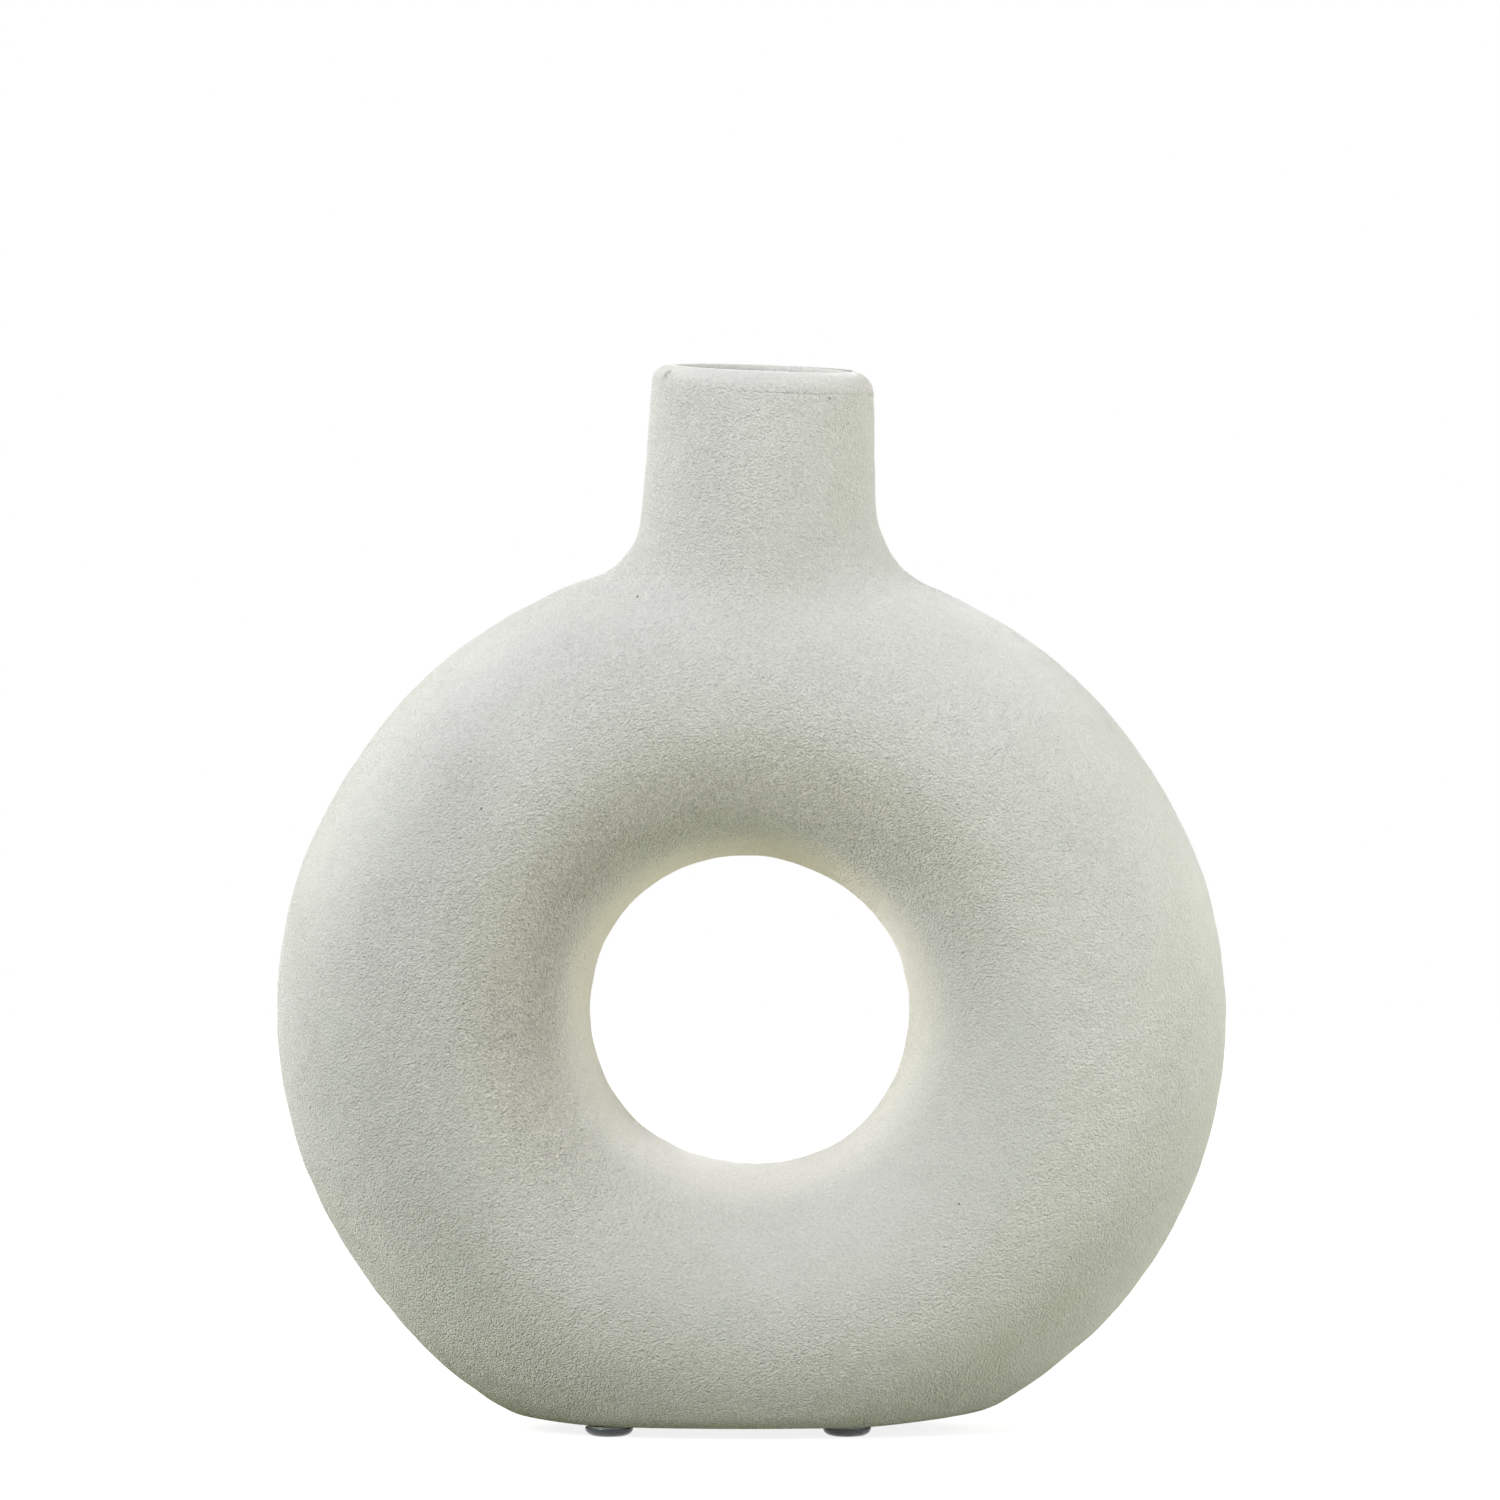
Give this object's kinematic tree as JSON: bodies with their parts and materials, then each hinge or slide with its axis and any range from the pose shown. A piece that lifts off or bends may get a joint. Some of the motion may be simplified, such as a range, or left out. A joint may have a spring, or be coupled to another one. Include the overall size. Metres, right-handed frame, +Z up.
{
  "type": "donut vase",
  "caption": "Hollow stoneware ring vase with a round hole through it, a short open neck on top and a flat base on clear stick-on pads; holds flower stems and water.",
  "frame": {"origin": "on the table under the middle of the ring, level with the undersides of the pads: the bottom centre of the whole vase's box", "axes": "+Z up, the longest extent; +Y to the back, the shortest extent, along the axis of the ring's hole; +X to the right seen from the front"},
  "size_m": [0.196, 0.066, 0.2205],
  "materials": {
    "sandy_stoneware": "matte, fine sandy grain",
    "liner_glaze": "semi-gloss",
    "clear_pad": "clear, soft satin",
    "adhesive_film": "clear film"
  },
  "bodies": {
    "root": {"vase_body": "sandy_stoneware", "glaze_lining": "liner_glaze", "front_left_pad": "clear_pad", "front_right_pad": "clear_pad", "rear_left_pad": "clear_pad", "rear_right_pad": "clear_pad", "front_left_pad_adhesive": "adhesive_film", "front_right_pad_adhesive": "adhesive_film", "rear_left_pad_adhesive": "adhesive_film", "rear_right_pad_adhesive": "adhesive_film"}
  },
  "joints": []
}
